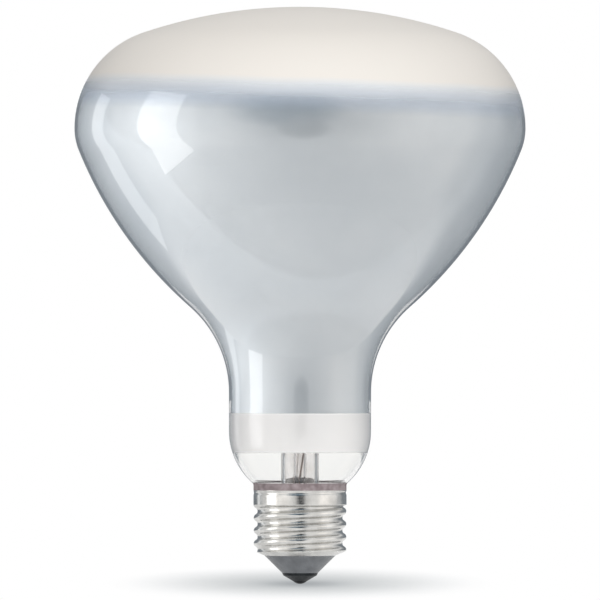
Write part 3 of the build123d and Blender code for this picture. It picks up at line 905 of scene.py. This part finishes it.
def makeWall():
    own = newMaterial("greyWall")
    place = addNode(own, "ShaderNodeTexCoord").outputs["Object"]
    split = addNode(own, "ShaderNodeSeparateXYZ", in0=place).outputs
    low, high, fade = (greyWall[key] for key in ("low", "high", "fade"))
    ahead = addNode(own, "ShaderNodeMath", {"operation": "MULTIPLY", 1: -1.0}, in0=split["Y"]).outputs[0]
    turn = addNode(own, "ShaderNodeMath", {"operation": "ARCTAN2"}, in0=split["X"], in1=ahead).outputs[0]
    share = addNode(own, "ShaderNodeMapRange", {1: -math.pi, 2: math.pi}, in0=turn).outputs[0]
    stops = []
    for azimuth, tone in wallTones:
        stops.append(((azimuth + 180) / 360, (*[tone**power for power in coolPowers], 1)))
    around = addNode(own, "ShaderNodeValToRGB", {"stops": stops}, in0=share)
    around.color_ramp.interpolation = "EASE"
    rise = {**smooth, 1: high - fade, 2: high}
    top = addNode(own, "ShaderNodeMapRange", rise, in0=split["Z"]).outputs[0]
    drop = {**smooth, 1: low + fade, 2: low}
    foot = addNode(own, "ShaderNodeMapRange", drop, in0=split["Z"]).outputs[0]
    ends = addNode(own, "ShaderNodeMath", {"operation": "MAXIMUM"}, in0=top, in1=foot).outputs[0]
    white = {"data_type": "RGBA", 7: (1, 1, 1, 1)}
    level = addNode(own, "ShaderNodeMix", white, in0=ends, in6=around.outputs[0]).outputs[2]
    glow = addNode(own, "ShaderNodeEmission", Color=level)
    addNode(own, "ShaderNodeOutputMaterial", Surface=glow.outputs[0])
    clearSelection()
    bpy.ops.mesh.primitive_cylinder_add(
        vertices=greyWall["steps"], radius=greyWall["radius"], depth=high - low, end_fill_type="NOTHING"
    )
    piece = bpy.context.object
    piece.name = "greyWall"
    piece.data.transform(Matrix.Translation((0, 0, (high + low) / 2)))
    standBy(piece, own)


def makeCards():
    for name, entry in cardTable.items():
        place, out = standPlace(entry)
        turned = out.to_track_quat("Z", "Y").to_matrix().to_4x4()
        clearSelection()
        bpy.ops.mesh.primitive_plane_add(size=1)
        card = bpy.context.object
        card.name = name
        width, height = entry["size"]
        card.data.transform(Matrix.Translation(place) @ turned @ Matrix.Diagonal((width, height, 1, 1)))
        own = newMaterial(name + "Black")
        corner = addNode(own, "ShaderNodeUVMap").outputs[0]
        fromMiddle = {"operation": "DISTANCE", 1: (0.5, 0.5, 0)}
        away = addNode(own, "ShaderNodeVectorMath", fromMiddle, in0=corner).outputs["Value"]
        thin = addNode(own, "ShaderNodeMapRange", {**smooth, 1: cardCore / 2, 2: 0.5}, in0=away).outputs[0]
        dark = addNode(own, "ShaderNodeEmission", {"Color": (*entry["tone"], 1)})
        gap = addNode(own, "ShaderNodeBsdfTransparent")
        both = addNode(own, "ShaderNodeMixShader", in0=thin, in1=dark.outputs[0], in2=gap.outputs[0])
        addNode(own, "ShaderNodeOutputMaterial", Surface=both.outputs[0])
        standBy(card, own)


def makeNeckCard():
    n = neckCard
    clearSelection()
    bpy.ops.mesh.primitive_plane_add(size=1)
    card = bpy.context.object
    card.name = "neckCard"
    upright = Matrix.Rotation(math.radians(90), 4, "X")
    middle = Matrix.Translation((0, n["back"], (n["low"] + n["high"]) / 2))
    card.data.transform(middle @ upright @ Matrix.Diagonal((n["width"], n["high"] - n["low"], 1, 1)))
    own = newMaterial("whiteCard")
    white = addNode(own, "ShaderNodeEmission", {"Color": (1, 1, 1, 1)})
    addNode(own, "ShaderNodeOutputMaterial", Surface=white.outputs[0])
    standBy(card, own)
    card.visible_glossy = False


# how bright the paper looks, by the open share of the space above it
shadeTones = [
    (0.25, (0.39, 0.41, 0.425)), (0.6, (0.55, 0.57, 0.58)), (0.8, (0.7, 0.715, 0.72)),
    (0.93, (0.93, 0.935, 0.94)), (1.0, (1, 1, 1)),
]


def makeFloor():
    clearSelection()
    bpy.ops.mesh.primitive_circle_add(vertices=96, radius=studio["floorRadius"], fill_type="NGON")
    floor = bpy.context.object
    floor.name = "paleFloor"
    floor.data.transform(Matrix.Rotation(math.radians(studio["floorTilt"]), 4, "X"))
    floor.data.transform(Matrix.Translation((0, 0, -studio["floorDrop"])))
    own = newMaterial("whitePaper")
    paper = addNode(own, "ShaderNodeBsdfDiffuse", {"Color": hexColour(studio["floorColour"])})
    glow = addNode(own, "ShaderNodeEmission", {"Strength": studio["floorGlow"]})
    lit = addNode(own, "ShaderNodeAddShader", in0=paper.outputs[0], in1=glow.outputs[0])
    # the camera sees white paper with the soft shade that the bulb leaves close round its tip
    reach = {"samples": 16, "Distance": studio["shadeReach"]}
    openShare = addNode(own, "ShaderNodeAmbientOcclusion", reach).outputs["AO"]
    stops = [(share, (*tone, 1)) for share, tone in shadeTones]
    shade = addNode(own, "ShaderNodeValToRGB", {"stops": stops}, in0=openShare).outputs[0]
    seen = addNode(own, "ShaderNodeEmission", Color=shade)
    cameraRay = addNode(own, "ShaderNodeLightPath").outputs["Is Camera Ray"]
    both = addNode(own, "ShaderNodeMixShader", in0=cameraRay, in1=lit.outputs[0], in2=seen.outputs[0])
    addNode(own, "ShaderNodeOutputMaterial", Surface=both.outputs[0])
    floor.data.materials.append(own)


def makeSurround():
    world = bpy.data.worlds.new("whiteSurround")
    scene.world = world
    world.use_nodes = True
    world.node_tree.nodes.clear()
    # full white for the camera, in gloss and through glass, and plain fill light for the rest
    rays = addNode(world, "ShaderNodeLightPath").outputs
    larger = {"operation": "MAXIMUM"}
    ray, gloss, through = (rays[f"Is {kind} Ray"] for kind in ("Camera", "Glossy", "Transmission"))
    shown = addNode(world, "ShaderNodeMath", larger, in0=ray, in1=gloss).outputs[0]
    white = addNode(world, "ShaderNodeMath", larger, in0=shown, in1=through).outputs[0]
    strength = addNode(world, "ShaderNodeMapRange", {3: studio["surround"], 4: 1.0}, in0=white).outputs[0]
    sky = addNode(world, "ShaderNodeBackground", {"Color": (1, 1, 1, 1)}, Strength=strength)
    addNode(world, "ShaderNodeOutputWorld", Surface=sky.outputs[0])


makeLamps()
makeWall()
makeCards()
makeNeckCard()
makeFloor()
makeSurround()
scene.view_settings.view_transform = "Standard"
print("studio built")
